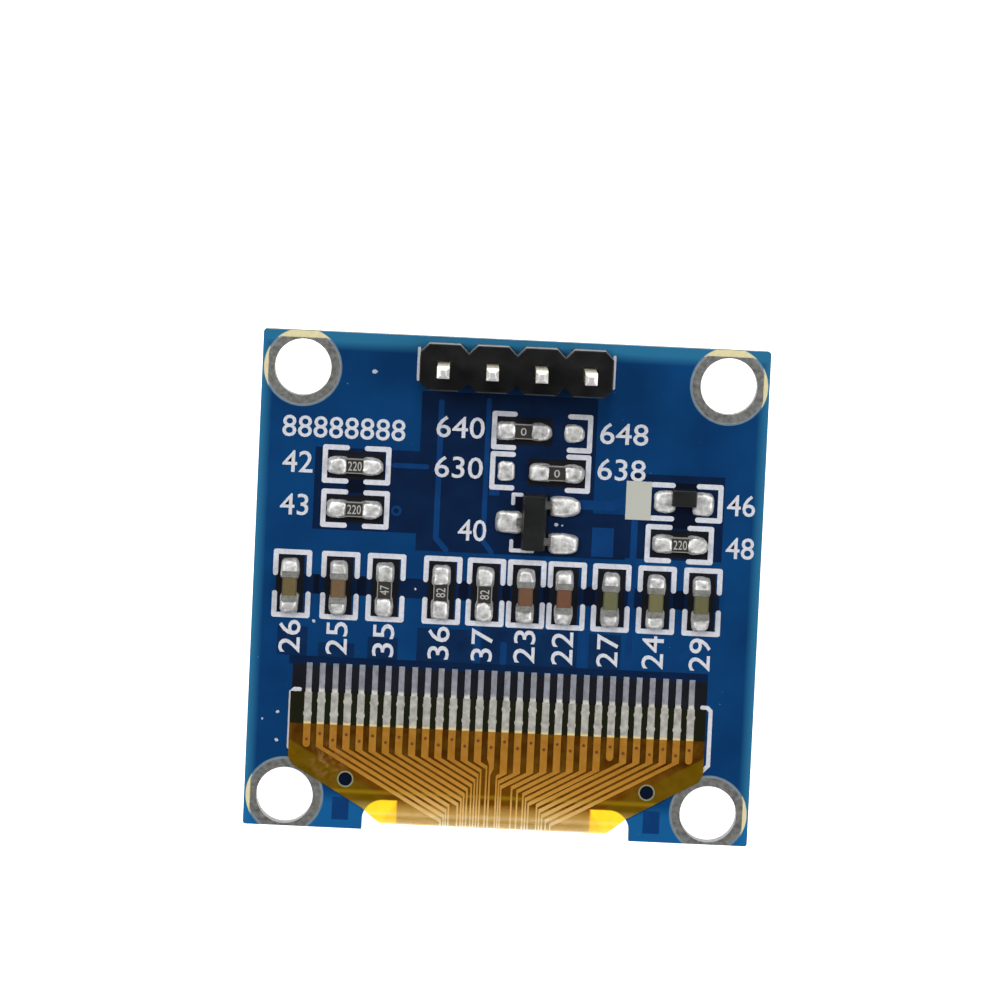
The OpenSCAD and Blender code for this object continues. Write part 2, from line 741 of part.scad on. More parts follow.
// The straight trace narrows early on the side where its neighbour slants in
module straight_trace() {
    w = finger_w / 2;
    b = bundle_trace_w / 2;
    y = film_end_y - straight_reach;
    early = 0.55;
    x = finger_middle + STRAIGHT_PLACE - finger_x(STRAIGHT_FINGER);
    translate([finger_x(STRAIGHT_FINGER), 0]) polygon([
        [-w, finger_end_y], [-w, y + early], [x - b, y + early - 2 * w], [x - b, fold_apex_y - 1],
        [x + b, fold_apex_y - 1], [x + b, y - 2 * w], [w, y], [w, finger_end_y]]);
}

module blind_trace(k) {
    y = film_end_y - blind_reach + finger_w / 2;
    translate([finger_x(k) - finger_w / 2, y]) square([finger_w, finger_end_y - y]);
    translate([finger_x(k), y]) circle(d = finger_w, $fn = 16);
}

module trace_back_plan() {
    for (k = LEFT_GROUP) slanting_trace(k, LEFT_BEND + LEFT_STEP * (k - 1), LEFT_BUNDLE[k - 1]);
    for (k = MIDDLE_GROUP) slanting_trace(k, MIDDLE_BEND + MIDDLE_STEP * (k - 15), MIDDLE_BUNDLE[k - 15]);
    for (k = RIGHT_GROUP) slanting_trace(k, RIGHT_BEND + RIGHT_STEP * (k - 24), RIGHT_BUNDLE[k - 24]);
    straight_trace();
    for (k = BLIND_FINGERS) blind_trace(k);
}

module trace_front_plan() {
    for (place = concat(LEFT_BUNDLE, [STRAIGHT_PLACE], MIDDLE_BUNDLE, RIGHT_BUNDLE))
        translate([finger_middle + place - bundle_trace_w / 2, fold_apex_y - 1])
            square([bundle_trace_w, trace_stop_y - fold_apex_y + 1]);
}

module flex_traces() {
    color("#b06a20") tail_layer(fold_r, fold_r + trace_t, finger_end_y, trace_stop_y) {
        trace_back_plan();
        trace_front_plan();
    }
}

// ---- Display panel ----

module polariser() {
    m = polariser_margin;
    color("#101014") translate([-panel_w / 2 + m, cover_bottom + m, 0])
        cube([panel_w - 2 * m, cover_h - 2 * m, polariser_t]);
}

module front_glass() {
    color("#a8c0c0") translate([-panel_w / 2, panel_bottom, z_front_glass])
        cube([panel_w, panel_h, front_glass_t]);
}

module lit_area(t) {
    translate([-view_w / 2, cover_bottom + (cover_h - view_h) / 2, z_ledge]) cube([view_w, view_h, t]);
}

module emitter_layer() {
    color("#303038") lit_area(emitter_t);
}

module cover_glass() {
    color("#b0c8c8") difference() {
        translate([-panel_w / 2, cover_bottom, z_ledge]) cube([panel_w, cover_h, cover_glass_t]);
        translate([0, 0, -EPS]) lit_area(emitter_t + EPS);
    }
}

module driver_chip() {
    clear = (ledge_h - bond_overlap - driver_w) / 2;
    color("#404048") translate([-driver_l / 2, bond_y + clear, z_ledge]) cube([driver_l, driver_w, driver_t]);
}

module tail_bond() {
    color("#d0c8a0") translate([tail_x - neck_half_w, panel_bottom, z_ledge])
        cube([2 * neck_half_w, bond_overlap, bond_t]);
}

module foam_tape() {
    color("#e8e8e8") translate([-tape_w / 2, cover_bottom + (cover_h - tape_h) / 2, z_tape])
        cube([tape_w, tape_h, tape_t]);
}

pcb();
mounting_rings();
silkscreen();
header_housing();
header_pin(0);  // header_pin_1
header_pin(1);  // header_pin_2
header_pin(2);  // header_pin_3
header_pin(3);  // header_pin_4
header_solder();
resistor(0);  // resistor_1
resistor(1);  // resistor_2
resistor(2);  // resistor_3
resistor(3);  // resistor_4
resistor(4);  // resistor_5
resistor(5);  // resistor_6
resistor(6);  // resistor_7
resistor(7);  // resistor_8
capacitor(0);  // capacitor_1
capacitor(1);  // capacitor_2
capacitor(2);  // capacitor_3
capacitor(3);  // capacitor_4
capacitor(4);  // capacitor_5
capacitor(5);  // capacitor_6
capacitor(6);  // capacitor_7
chip_end_caps();
regulator_body();
regulator_leads();
diode_body();
diode_leads();
component_solder();
spare_pads();
finger_lands();
finger_solder();
flex_film();
flex_fingers();
flex_traces();
polariser();
front_glass();
emitter_layer();
cover_glass();
driver_chip();
tail_bond();
foam_tape();
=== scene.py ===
"""Looks of a small OLED display module that lies face down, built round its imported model."""

import math
from functools import reduce

import bmesh
import bpy
from mathutils import Matrix, Vector, noise


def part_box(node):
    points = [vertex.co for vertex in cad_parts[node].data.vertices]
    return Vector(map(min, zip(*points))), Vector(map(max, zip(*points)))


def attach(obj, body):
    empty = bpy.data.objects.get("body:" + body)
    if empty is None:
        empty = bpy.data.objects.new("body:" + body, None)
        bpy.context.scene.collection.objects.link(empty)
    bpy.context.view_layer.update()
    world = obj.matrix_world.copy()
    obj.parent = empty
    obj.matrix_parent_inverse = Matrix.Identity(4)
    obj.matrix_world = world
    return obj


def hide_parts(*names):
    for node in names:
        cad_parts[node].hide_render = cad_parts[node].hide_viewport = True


bl_info = {
    "name": "Small OLED display module",
    "version": (1, 0, 0),
    "blender": (4, 5, 0),
    "location": "View3D > Sidebar > Module",
    "description": "Finishes, solder, markings and stage for a small display module",
    "category": "Object",
}

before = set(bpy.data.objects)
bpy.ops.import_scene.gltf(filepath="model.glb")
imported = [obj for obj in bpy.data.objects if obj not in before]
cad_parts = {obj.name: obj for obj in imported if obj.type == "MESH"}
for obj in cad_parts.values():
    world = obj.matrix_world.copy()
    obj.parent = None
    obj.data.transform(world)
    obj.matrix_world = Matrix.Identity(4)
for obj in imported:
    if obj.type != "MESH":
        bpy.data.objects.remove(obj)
MM = 0.001


# ---- Measures in millimetres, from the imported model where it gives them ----

def box_mm(node):
    """Lowest and highest corner of a node in millimetres."""
    low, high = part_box(node)
    return Vector(low) / MM, Vector(high) / MM


def spread(node):
    """Middle and size of a node in millimetres."""
    low, high = box_mm(node)
    return (low + high) / 2, high - low


BOARD_LOW, BOARD_HIGH = box_mm("pcb")
TOP = BOARD_HIGH.z
FILM_TOP = box_mm("flex_film")[1].z
PIN_TOP = box_mm("header_pin_1")[1].z
RESISTORS = ["resistor_%d" % i for i in range(1, 9)]
CAPACITORS = ["capacitor_%d" % i for i in range(1, 8)]
PINS = ["header_pin_%d" % i for i in range(1, 5)]

# Mounting holes, and round each of them the plated wall, the ring's pale rim and the mask's opening
HOLES = [(x, y) for y in (11.22, -11.52) for x in (-11.25, 11.25)]
WALL_R, RIM_R, OPENING_R = 1.58, 1.94, 2.06
# Outside these lines an opening that meets the board's edge shows the bare laminate
MASK_X, MASK_Y = 13.02, 12.74

# Plates of copper, laminate and shade start this far under the board's top
SUNK = 0.01
# Printed ink over the board's top
INK = 0.02

# The flexible tail: its middle, its fingers, where its coverlay starts and its two locating holes
TAIL_X = -0.06
FINGER_COUNT, FINGER_PITCH = 30, 0.7
FINGER_X = [TAIL_X + (k - (FINGER_COUNT - 1) / 2) * FINGER_PITCH for k in range(FINGER_COUNT)]
COVERLAY_Y = -7.65
FILM_HOLES = [(-8.06, -10.51), (7.94, -10.51)]
# The slanting lines along which the traces fan in from the tail's sides
FAN_HALF, FAN_Y, FAN_SLOPE = 9.75, -8.95, 0.56
# The board's notch under the tail
NOTCH_HALF, NOTCH_TOP, NOTCH_ROUND = 7.1, -11.55, 1.1

# The polarity block beside the diode: its middle and half its sides
BLOCK_X, BLOCK_Y, BLOCK_HALF_X, BLOCK_HALF_Y = 6.77, 4.98, 0.69, 1.04


def rgb(red, green, blue):
    """A colour given in display steps of 0 to 255, as the linear colour that shaders take."""
    return tuple((c / 255 / 12.92 if c <= 10 else ((c / 255 + 0.055) / 1.055) ** 2.4)
                 for c in (red, green, blue)) + (1.0,)


def lit(colour, factor, lift=0.0):
    """A colour made lighter or darker."""
    return tuple(min(1.0, c * factor + lift) for c in colour[:3]) + (1.0,)


# ---- Shader maths ----

class Wire:
    """A shader socket. Sums, differences, products and quotients of wires add their Math nodes."""

    def __init__(self, tree, socket=None):
        self.tree, self.socket = tree, socket

    def add(self, kind, settings=None, inputs=None, out=0):
        """Adds a node: its settings first, then its sockets' values or wires. Returns one output."""
        node = self.tree.nodes.new("ShaderNode" + kind)
        for name, value in (settings or {}).items():
            if name == "stops":
                ramp = node.color_ramp.elements
                while len(ramp) < len(value):
                    ramp.new(0.5)
                for stop, (place, colour) in zip(ramp, value):
                    stop.position, stop.color = place, colour
            else:
                setattr(node, name, value)
        for name, value in (inputs or {}).items():
            if isinstance(value, Wire):
                self.tree.links.new(value.socket, node.inputs[name])
            else:
                node.inputs[name].default_value = value
        return Wire(self.tree, node.outputs[out])

    def math(self, operation, *values):
        return self.add("Math", {"operation": operation}, dict(enumerate(values)))

    def __add__(self, other):
        return self.math("ADD", self, other)

    __radd__ = __add__

    def __sub__(self, other):
        return self.math("SUBTRACT", self, other)

    def __rsub__(self, other):
        return self.math("SUBTRACT", other, self)

    def __mul__(self, other):
        return self.math("MULTIPLY", self, other)

    __rmul__ = __mul__

    def __truediv__(self, other):
        return self.math("DIVIDE", self, other)

    def __abs__(self):
        return self.math("ABSOLUTE", self)

    def root(self):
        return self.math("SQRT", self)

    def most(self, other):
        return self.math("MAXIMUM", self, other)

    def least(self, other):
        return self.math("MINIMUM", self, other)

    def clamped(self):
        return self.add("Clamp", inputs={0: self})

    def above(self, edge, soft):
        """0 below the edge and 1 above it, with a blend of the given width."""
        return ((self - edge) / soft + 0.5).clamped()

    def below(self, edge, soft):
        """1 below the edge and 0 above it, with a blend of the given width."""
        return 1 - self.above(edge, soft)

    def around(self, middle, reach, soft):
        """1 within reach of the middle and 0 beyond, with a blend of the given width."""
        return abs(self - middle).below(reach, soft)

    def mix(self, first, second):
        """The first colour where this is 0, the second where it is 1."""
        return self.add("Mix", {"data_type": "RGBA"}, {0: self, 6: first, 7: second}, 2)


class Finish:
    """A material with one Principled shader, and the wires that its patterns start from."""

    def __init__(self, name, **constants):
        self.material = bpy.data.materials.new(name)
        self.material.use_nodes = True
        self.tree = self.material.node_tree
        self.shader = self.tree.nodes["Principled BSDF"]
        for key, value in constants.items():
            self.shader.inputs[key.replace("_", " ")].default_value = value
        self.start = Wire(self.tree)
        place = self.start.add("TexCoord", out=3)
        self.place = self.start.add("VectorMath", {"operation": "SCALE"}, {0: place, "Scale": 1 / MM})
        parts = self.place.add("SeparateXYZ", inputs={0: self.place})
        node = parts.socket.node
        self.x, self.y, self.z = (Wire(self.tree, node.outputs[i]) for i in range(3))

    def level(self):
        """1 on faces that lie flat and 0 on upright ones."""
        normal = self.start.add("NewGeometry", out=1)
        up = self.start.add("SeparateXYZ", inputs={0: normal}, out=2)
        return abs(up).above(0.5, 0.1)

    def grain(self, scale, detail=2.0, rough=0.5, stretch=None):
        """Noise with features of about 1 / scale millimetres."""
        place = self.place
        if stretch:
            place = place.add("VectorMath", {"operation": "MULTIPLY"}, {0: place, 1: stretch})
        return self.start.add("TexNoise", None, {"Vector": place, "Scale": scale, "Detail": detail,
                                                 "Roughness": rough})

    def speckle(self, scale):
        """Distance to the nearest of scattered points, scale points to the millimetre."""
        return self.start.add("TexVoronoi", None, {"Vector": self.place, "Scale": scale})

    def near(self, x, y):
        """Distance from an upright line, in millimetres."""
        dx, dy = self.x - x, self.y - y
        return (dx * dx + dy * dy).root()

    def nearest_hole(self):
        """Distance from the axis of the nearest mounting hole."""
        return reduce(Wire.least, [self.near(x, y) for x, y in HOLES])

    def bump(self, height, strength, distance=0.02):
        normal = self.start.add("Bump", None, {"Strength": strength, "Distance": distance * MM,
                                               "Height": height})
        self.feed("Normal", normal)

    def feed(self, name, wire):
        self.tree.links.new(wire.socket, self.shader.inputs[name])

    def over(self, colour, amount):
        """Lets light through: this share of the surface is clear, tinted with the colour."""
        clear = self.start.add("BsdfTransparent", None, {"Color": colour})
        solid = Wire(self.tree, self.shader.outputs[0])
        mixed = self.start.add("MixShader", None, {0: amount, 1: solid, 2: clear})
        self.tree.links.new(mixed.socket, self.tree.nodes["Material Output"].inputs[0])


# ---- Meshes ----

def new_piece(name, bm, finish, smooth=False):
    """A finished piece of the module from a bmesh in millimetres."""
    bmesh.ops.scale(bm, vec=(MM, MM, MM), verts=bm.verts)
    bmesh.ops.recalc_face_normals(bm, faces=bm.faces)
    mesh = bpy.data.meshes.new(name)
    for face in bm.faces:
        face.smooth = smooth
    bm.to_mesh(mesh)
    bm.free()
    piece = bpy.data.objects.new(name, mesh)
    bpy.context.scene.collection.objects.link(piece)
    mesh.materials.append(finish)
    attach(piece, "root")
    return piece


def dress(node, finish, edge=0.0):
    """Gives a node its finish, and rounds its sharp edges by the given width."""
    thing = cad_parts[node]
    if thing.material_slots:
        for place in thing.material_slots:
            place.material = finish
    else:
        thing.data.materials.append(finish)
    if edge:
        weld = thing.modifiers.new("weld", "WELD")
        weld.merge_threshold = 0.001 * MM
        bevel = thing.modifiers.new("edge", "BEVEL")
        bevel.width = edge * MM
        bevel.segments = 2
        bevel.limit_method = "ANGLE"
        bevel.angle_limit = math.radians(40)


def add_plate(bm, x, y, length, width, low, height, turn=0.0):
    """A thin block with its middle at x, y."""
    made = bmesh.ops.create_cube(bm, size=1.0)["verts"]
    bmesh.ops.scale(bm, vec=(length, width, height), verts=made)
    bmesh.ops.rotate(bm, cent=(0, 0, 0), matrix=Matrix.Rotation(turn, 3, "Z"), verts=made)
    bmesh.ops.translate(bm, vec=(x, y, low + height / 2), verts=made)


def add_field(bm, sides, height):
    """A plate in the board's top, given its left, right, lower and upper side."""
    x0, x1, y0, y1 = sides
    add_plate(bm, (x0 + x1) / 2, (y0 + y1) / 2, x1 - x0, y1 - y0, TOP - SUNK, height)


def add_disc(bm, x, y, diameter, low, height, segments):
    made = bmesh.ops.create_cone(bm, cap_ends=True, segments=segments, radius1=diameter / 2,
                                 radius2=diameter / 2, depth=height)["verts"]
    bmesh.ops.translate(bm, vec=(x, y, low + height / 2), verts=made)


def add_run(bm, points, width, low, height):
    """A flat line of plates through the points, with a disc at each."""
    # The discs lie lower and each plate a step higher, so that no two tops share a plane
    disc_drop, plate_step = 0.0015, 0.0004
    for x, y in points:
        add_disc(bm, x, y, width, low, height - disc_drop, 12)
    for (x0, y0), (x1, y1) in zip(points, points[1:]):
        length = math.hypot(x1 - x0, y1 - y0)
        height += plate_step
        turn = math.atan2(y1 - y0, x1 - x0)
        add_plate(bm, (x0 + x1) / 2, (y0 + y1) / 2, length, width, low, height, turn)


def add_ring(bm, x, y, inner, outer, low, height, segments):
    """A flat ring: a small square spun round."""
    made = bmesh.ops.create_grid(bm, x_segments=1, y_segments=1, size=0.5)["verts"]
    bmesh.ops.scale(bm, vec=(outer - inner, height, 1), verts=made)
    bmesh.ops.rotate(bm, cent=(0, 0, 0), matrix=Matrix.Rotation(math.pi / 2, 3, "X"), verts=made)
    bmesh.ops.translate(bm, vec=(x + (inner + outer) / 2, y, low + height / 2), verts=made)
    faces = [f for f in bm.faces if all(v in made for v in f.verts)]
    geometry = made + [e for e in bm.edges if all(v in made for v in e.verts)] + faces
    bmesh.ops.spin(bm, geom=geometry, cent=(x, y, 0), axis=(0, 0, 1), angle=2 * math.pi,
                   steps=segments, use_merge=True)


def add_lump(bm, x, y, length, width, height, turn, tip, square, seed):
    """A rounded lump on the board. A tip draws its +X end out, and a low square makes it boxy."""
    swell, stretch, wobble, waves = 0.62, 0.12, 0.12, 1.4
    shift = Vector((seed * 7.3, seed * 3.1, seed))
    # Without a seed of its own, this noise would follow the clock
    noise.seed_set(1)
    made = bmesh.ops.create_uvsphere(bm, u_segments=28, v_segments=16, radius=1.0)["verts"]
    for v in made:
        # Powers under 1 fill the ball out towards a box
        for axis, power in enumerate((square, square, swell)):
            v.co[axis] = math.copysign(abs(v.co[axis]) ** power, v.co[axis])
        if v.co.x > 0:
            v.co.y *= 1 - tip * v.co.x ** 2
            v.co.x *= 1 + stretch * tip
        v.co += noise.noise_vector(v.co * waves + shift) * wobble
    bmesh.ops.scale(bm, vec=(length / 2, width / 2, height), verts=made)
    bmesh.ops.rotate(bm, cent=(0, 0, 0), matrix=Matrix.Rotation(turn, 3, "Z"), verts=made)
    bmesh.ops.translate(bm, vec=(x, y, TOP), verts=made)


def letters(bm, text, x, y, height, width, turn, low, thick, weight=0.0):
    """Adds text of this height and width to a bmesh, with its middle at x, y."""
    curve = bpy.data.curves.new("marking", "FONT")
    curve.body = text
    curve.size = 1.0
    curve.offset = weight
    curve.resolution_u = 3
    thing = bpy.data.objects.new("marking", curve)
    bpy.context.scene.collection.objects.link(thing)
    bpy.context.view_layer.update()
    mesh = bpy.data.meshes.new_from_object(thing.evaluated_get(bpy.context.evaluated_depsgraph_get()))
    bpy.data.objects.remove(thing)
    bpy.data.curves.remove(curve)
    part = bmesh.new()
    part.from_mesh(mesh)
    bpy.data.meshes.remove(mesh)
    xs = [v.co.x for v in part.verts]
    ys = [v.co.y for v in part.verts]
    scale = (width / (max(xs) - min(xs)), height / (max(ys) - min(ys)), 1)
    centre = Vector(((max(xs) + min(xs)) / 2, (max(ys) + min(ys)) / 2, 0))
    bmesh.ops.translate(part, vec=-centre, verts=part.verts)
    bmesh.ops.scale(part, vec=scale, verts=part.verts)
    grown = bmesh.ops.extrude_face_region(part, geom=list(part.faces))["geom"]
    upper = [g for g in grown if isinstance(g, bmesh.types.BMVert)]
    bmesh.ops.translate(part, vec=(0, 0, thick), verts=upper)
    bmesh.ops.rotate(part, cent=(0, 0, 0), matrix=Matrix.Rotation(turn, 3, "Z"), verts=part.verts)
    bmesh.ops.translate(part, vec=(x, y, low), verts=part.verts)
    joined = bpy.data.meshes.new("joined")
    part.to_mesh(joined)
    part.free()
    bm.from_mesh(joined)
    bpy.data.meshes.remove(joined)


# ---- Finishes ----

def mask_finish():
    """Blue solder mask on the faces, woven glass on the cut edges, plating in the mounting holes."""
    f = Finish("blue_solder_mask", Coat_Roughness=0.08, Specular_IOR_Level=0.35)
    # Light comes through the laminate along the sides, the header's edge and the lower edge
    glow = (BOARD_HIGH.x - abs(f.x)).below(0.34, 0.5).most((BOARD_HIGH.y - f.y).below(0.72, 0.5))
    pour = f.grain(0.28, 3.0).above(0.5, 0.5).mix(rgb(4, 49, 96), rgb(7, 64, 116))
    mask = (glow * 0.85).mix(pour, rgb(44, 116, 154))
    mask = (f.y.below(-11.5, 0.7) * 0.7).mix(mask, rgb(22, 100, 158))
    specks = f.speckle(1.7).below(0.05, 0.03) * f.grain(0.9, 1.0).above(0.6, 0.1)
    mask = (specks * 0.6).mix(mask, rgb(120, 165, 200))
    nearest = f.nearest_hole()
    opening = nearest.below(OPENING_R, 0.04)
    bare = opening * abs(f.x).above(MASK_X, 0.05).most(f.y.above(MASK_Y, 0.05))
    weave = f.grain(6.0).mix(rgb(206, 194, 144), rgb(232, 222, 180))
    halo = f.grain(3.0, 3.0).mix(rgb(88, 116, 138), rgb(136, 156, 168))
    flat = bare.mix(opening.mix(mask, halo), weave)
    fibre = f.grain(1.0, 4.0, stretch=(3.0, 3.0, 22.0)).mix(rgb(66, 84, 80), rgb(116, 128, 108))
    skin = f.z.above(TOP - 0.05, 0.02).most(f.z.below(BOARD_LOW.z + 0.05, 0.02))
    plated = nearest.below(WALL_R, 0.02)
    wall = plated.mix(skin.mix(fibre, rgb(10, 60, 120)), rgb(150, 148, 142))
    side = 1 - f.level()
    f.feed("Base Color", side.mix(flat, wall))
    f.feed("Metallic", side * plated)
    f.feed("Roughness", 0.18 + side * 0.35 + bare * 0.35 + f.grain(3.0) * 0.06)
    f.feed("Coat Weight", 0.4 * (1 - side) * (1 - bare))
    f.bump(f.grain(2.2) + f.grain(14.0, 1.0) * 0.15, 0.25)
    return f.material


def copper_finish(name, colour, shade):
    """Solder mask over copper or over bare laminate, or mask in painted shade, as a tone of its own."""
    f = Finish(name, Coat_Weight=0.4, Coat_Roughness=0.08, Specular_IOR_Level=0.35)
    f.feed("Base Color", f.grain(0.8, 3.0).above(0.5, 0.6).mix(shade, colour))
    f.feed("Roughness", 0.18 + f.grain(4.0) * 0.08)
    f.bump(f.grain(3.0), 0.2)
    return f.material


def tin_finish(name, dark, light, roughness=0.3, metal=1.0, scale=5.0, bump=0.3, rim=None):
    """Tin or solder: bright metal with a mottled, frosted skin, and a yellow line along y = rim."""
    f = Finish(name, Metallic=metal)
    mottle = f.grain(scale, 4.0, 0.6)
    tone = mottle.above(0.5, 0.5).mix(dark, light)
    if rim is not None:
        tone = f.y.around(rim, 0.06, 0.08).mix(tone, rgb(240, 220, 156))
    f.feed("Base Color", tone)
    f.feed("Roughness", (roughness - 0.1 + f.grain(scale * 1.7, 3.0) * 0.28).clamped())
    f.bump(mottle + f.grain(scale * 3.0) * 0.3, bump, 0.04)
    return f.material


def ring_finish():
    """Tinned ring: frosted grey with a paler rim where the mask opens."""
    f = Finish("tinned_ring", Metallic=0.85)
    mottle = f.grain(4.0, 4.0, 0.6)
    metal = mottle.above(0.5, 0.5).mix(rgb(112, 111, 108), rgb(164, 164, 161))
    f.feed("Base Color", f.nearest_hole().above(RIM_R, 0.05).mix(metal, rgb(168, 176, 180)))
    f.feed("Roughness", 0.34 + mottle * 0.2)
    f.bump(mottle, 0.3, 0.03)
    return f.material


def ink_finish():
    """White print: matt ink with a soft mottle and thin places, greyer on the polarity block."""
    f = Finish("white_print")
    mottle = f.grain(5.0, 4.0, 0.65)
    white = mottle.above(0.46, 0.5).mix(rgb(182, 184, 196), rgb(216, 217, 222))
    block = f.x.around(BLOCK_X, BLOCK_HALF_X, 0.02) * f.y.around(BLOCK_Y, BLOCK_HALF_Y, 0.02)
    f.feed("Base Color", block.mix(white, rgb(180, 182, 172)))
    f.feed("Roughness", 0.5 + mottle * 0.2)
    f.bump(f.grain(16.0), 0.3)
    return f.material


def black_plastic(name, tone, roughness=0.4, bump=0.25):
    """Moulded black plastic with a fine grain and a faint bloom."""
    f = Finish(name, Specular_IOR_Level=0.3)
    bloom = f.grain(0.9, 3.0)
    f.feed("Base Color", bloom.above(0.55, 0.5).mix(tone, lit(tone, 1.9, 0.004)))
    f.feed("Roughness", roughness - 0.06 + bloom * 0.14)
    f.bump(f.grain(9.0, 3.0), bump)
    return f.material


def pin_finish():
    """Plated pins: pale gold, painted bright at the tips as a highlight, with drawn lines along them."""
    f = Finish("plated_pin", Metallic=1.0)
    drawn = f.grain(6.0, 3.0, stretch=(4.0, 4.0, 0.25))
    gold = drawn.mix(rgb(164, 154, 128), rgb(206, 198, 172))
    # Painted highlight: the top end of each pin is painted near white
    tip = f.z.above(PIN_TOP - 0.5, 0.5)
    f.feed("Base Color", tip.mix(gold, rgb(250, 249, 246)))
    f.feed("Roughness", 0.18 + drawn * 0.2 + tip * 0.15)
    f.bump(drawn, 0.15)
    return f.material


def resistor_finish(node):
    """Black coat inside a paler frame on top, white ceramic at the sides."""
    centre, size = spread(node)
    f = Finish(node + "_coat", Coat_Weight=0.3, Coat_Roughness=0.2)
    along, cross = f.x - centre.x, f.y - centre.y
    if size.y >= size.x:
        along, cross = cross, along
    coat = f.grain(5.0).mix(rgb(24, 21, 20), rgb(48, 44, 41))
    rim = (abs(along) - 0.47).most(abs(cross) - 0.35).above(0.0, 0.05)
    ceramic = f.grain(8.0).mix(rgb(196, 196, 192), rgb(224, 224, 220))
    f.feed("Base Color", f.level().mix(ceramic, rim.mix(coat, rgb(150, 148, 142))))
    f.feed("Roughness", 0.35 + f.grain(7.0) * 0.2)
    f.bump(f.grain(10.0), 0.2)
    return f.material


def capacitor_finish(node, tone):
    """Fired ceramic in its own tone, darker towards the edges."""
    centre, size = spread(node)
    f = Finish(node + "_ceramic", Coat_Weight=0.15, Coat_Roughness=0.3)
    across = abs(f.x - centre.x) / (size.x / 2)
    body = f.grain(4.0, 4.0).above(0.5, 0.6).mix(tone, lit(tone, 1.25))
    f.feed("Base Color", across.above(0.86, 0.2).mix(body, lit(tone, 0.45)))
    f.feed("Roughness", 0.4 + f.grain(6.0) * 0.2)
    f.bump(f.grain(9.0, 3.0), 0.25)
    return f.material


def film_finish():
    """Amber film: dark over the board, bright where light comes through from below, with painted light
    and a painted glow there and painted highlights along the fold.
    """
    # The emission is a painted glow, black everywhere but over the notch
    f = Finish("amber_film", Coat_Weight=0.3, Coat_Roughness=0.06, Specular_IOR_Level=0.35,
               Emission_Strength=0.45)
    uncovered = f.y.above(COVERLAY_Y, 0.04)
    # Film between the traces, and the paler film beside the slanting lines of the fan
    between = f.y.above(-9.4, 0.9).mix(rgb(118, 72, 4), rgb(86, 48, 0))
    fan = FAN_Y - (FAN_HALF - abs(f.x - TAIL_X)) * FAN_SLOPE
    cover = (f.y - fan).below(-0.3, 0.15).mix(between, rgb(120, 92, 2))
    # A dull blot at the left, a painted highlight along the start of the bend over the notch's edge, and
    # the fold's end painted pale as lit
    blot = f.near(-9.0, -9.55).below(0.8, 0.8) * f.grain(4.0, 3.0).above(0.52, 0.12)
    cover = (blot * 0.6).mix(cover, rgb(184, 136, 88))
    cover = (f.y.around(-11.15, 0.1, 0.14) * 0.55).mix(cover, rgb(196, 158, 24))
    cover = (f.y.below(-11.85, 0.6) * 0.85).mix(cover, rgb(232, 206, 120))
    # Painted light: the film at both sides of the traces, where the notch leaves it without board or
    # copper, is painted bright yellow as if lit from below
    out_x = (abs(f.x) - (NOTCH_HALF - NOTCH_ROUND)).most(0.0)
    out_y = (f.y - (NOTCH_TOP - NOTCH_ROUND)).most(0.0)
    notch = (out_x * out_x + out_y * out_y).root().below(NOTCH_ROUND, 0.08)
    lit_side = notch * abs(f.x + 0.13).above(5.15, 0.1)
    cover = (lit_side * 0.85).mix(cover, rgb(254, 226, 60))
    tone = uncovered.mix(cover, rgb(30, 32, 18))
    streak = f.grain(1.6, 3.0)
    smear = streak.above(0.58, 0.4) * (1 - uncovered) * 0.35
    f.feed("Base Color", smear.mix(tone, rgb(156, 122, 40)))
    f.feed("Roughness", 0.16 + streak * 0.1)
    f.bump(f.grain(0.8) + f.grain(5.0) * 0.15, 0.3, 0.05)
    # Painted glow: the film over the notch gives off light of its own
    f.feed("Emission Color", lit_side.mix(rgb(0, 0, 0), rgb(255, 226, 60)))
    f.over(rgb(255, 226, 60), 0.45 + lit_side * 0.15 - uncovered * 0.22)
    return f.material


def trace_finish():
    """Copper under amber coverlay: deeper by the fingers, with painted light paling it towards the fold.
    """
    f = Finish("covered_copper", Coat_Weight=0.3, Coat_Roughness=0.08, Specular_IOR_Level=0.35)
    # Painted light: the copper's colour runs to near white along the fold
    start, length = -7.6, 5.4
    down = ((start - f.y) / length).clamped()
    stops = [(0.0, rgb(150, 100, 18)), (0.32, rgb(158, 104, 22)), (0.62, rgb(186, 132, 48)),
             (0.85, rgb(236, 196, 122)), (1.0, rgb(255, 238, 190))]
    tone = down.add("ValToRGB", {"stops": stops}, {0: down})
    mottle = f.grain(3.0, 3.0)
    f.feed("Base Color", (mottle.above(0.54, 0.5) * 0.35).mix(tone, rgb(196, 142, 62)))
    f.feed("Roughness", 0.3 + mottle * 0.15)
    f.bump(mottle, 0.2)
    return f.material


def plain_finish(name, first, second, scale, roughness, metal=0.0, bump=0.2):
    """Two close tones mottled together, with a fine bump."""
    f = Finish(name, Metallic=metal)
    mottle = f.grain(scale, 3.0)
    f.feed("Base Color", mottle.mix(first, second))
    f.feed("Roughness", roughness + mottle * 0.1)
    f.bump(f.grain(scale * 2.5), bump)
    return f.material


def glass_finish(name, tint):
    """Thin flat glass with a faint smear and ground edges."""
    f = Finish(name, Transmission_Weight=0.9, IOR=1.5)
    side = 1 - f.level()
    f.feed("Base Color", side.mix(tint, rgb(196, 222, 214)))
    f.feed("Roughness", 0.04 + side * 0.4 + f.grain(0.4, 3.0) * 0.05)
    return f.material


# ---- Settings ----

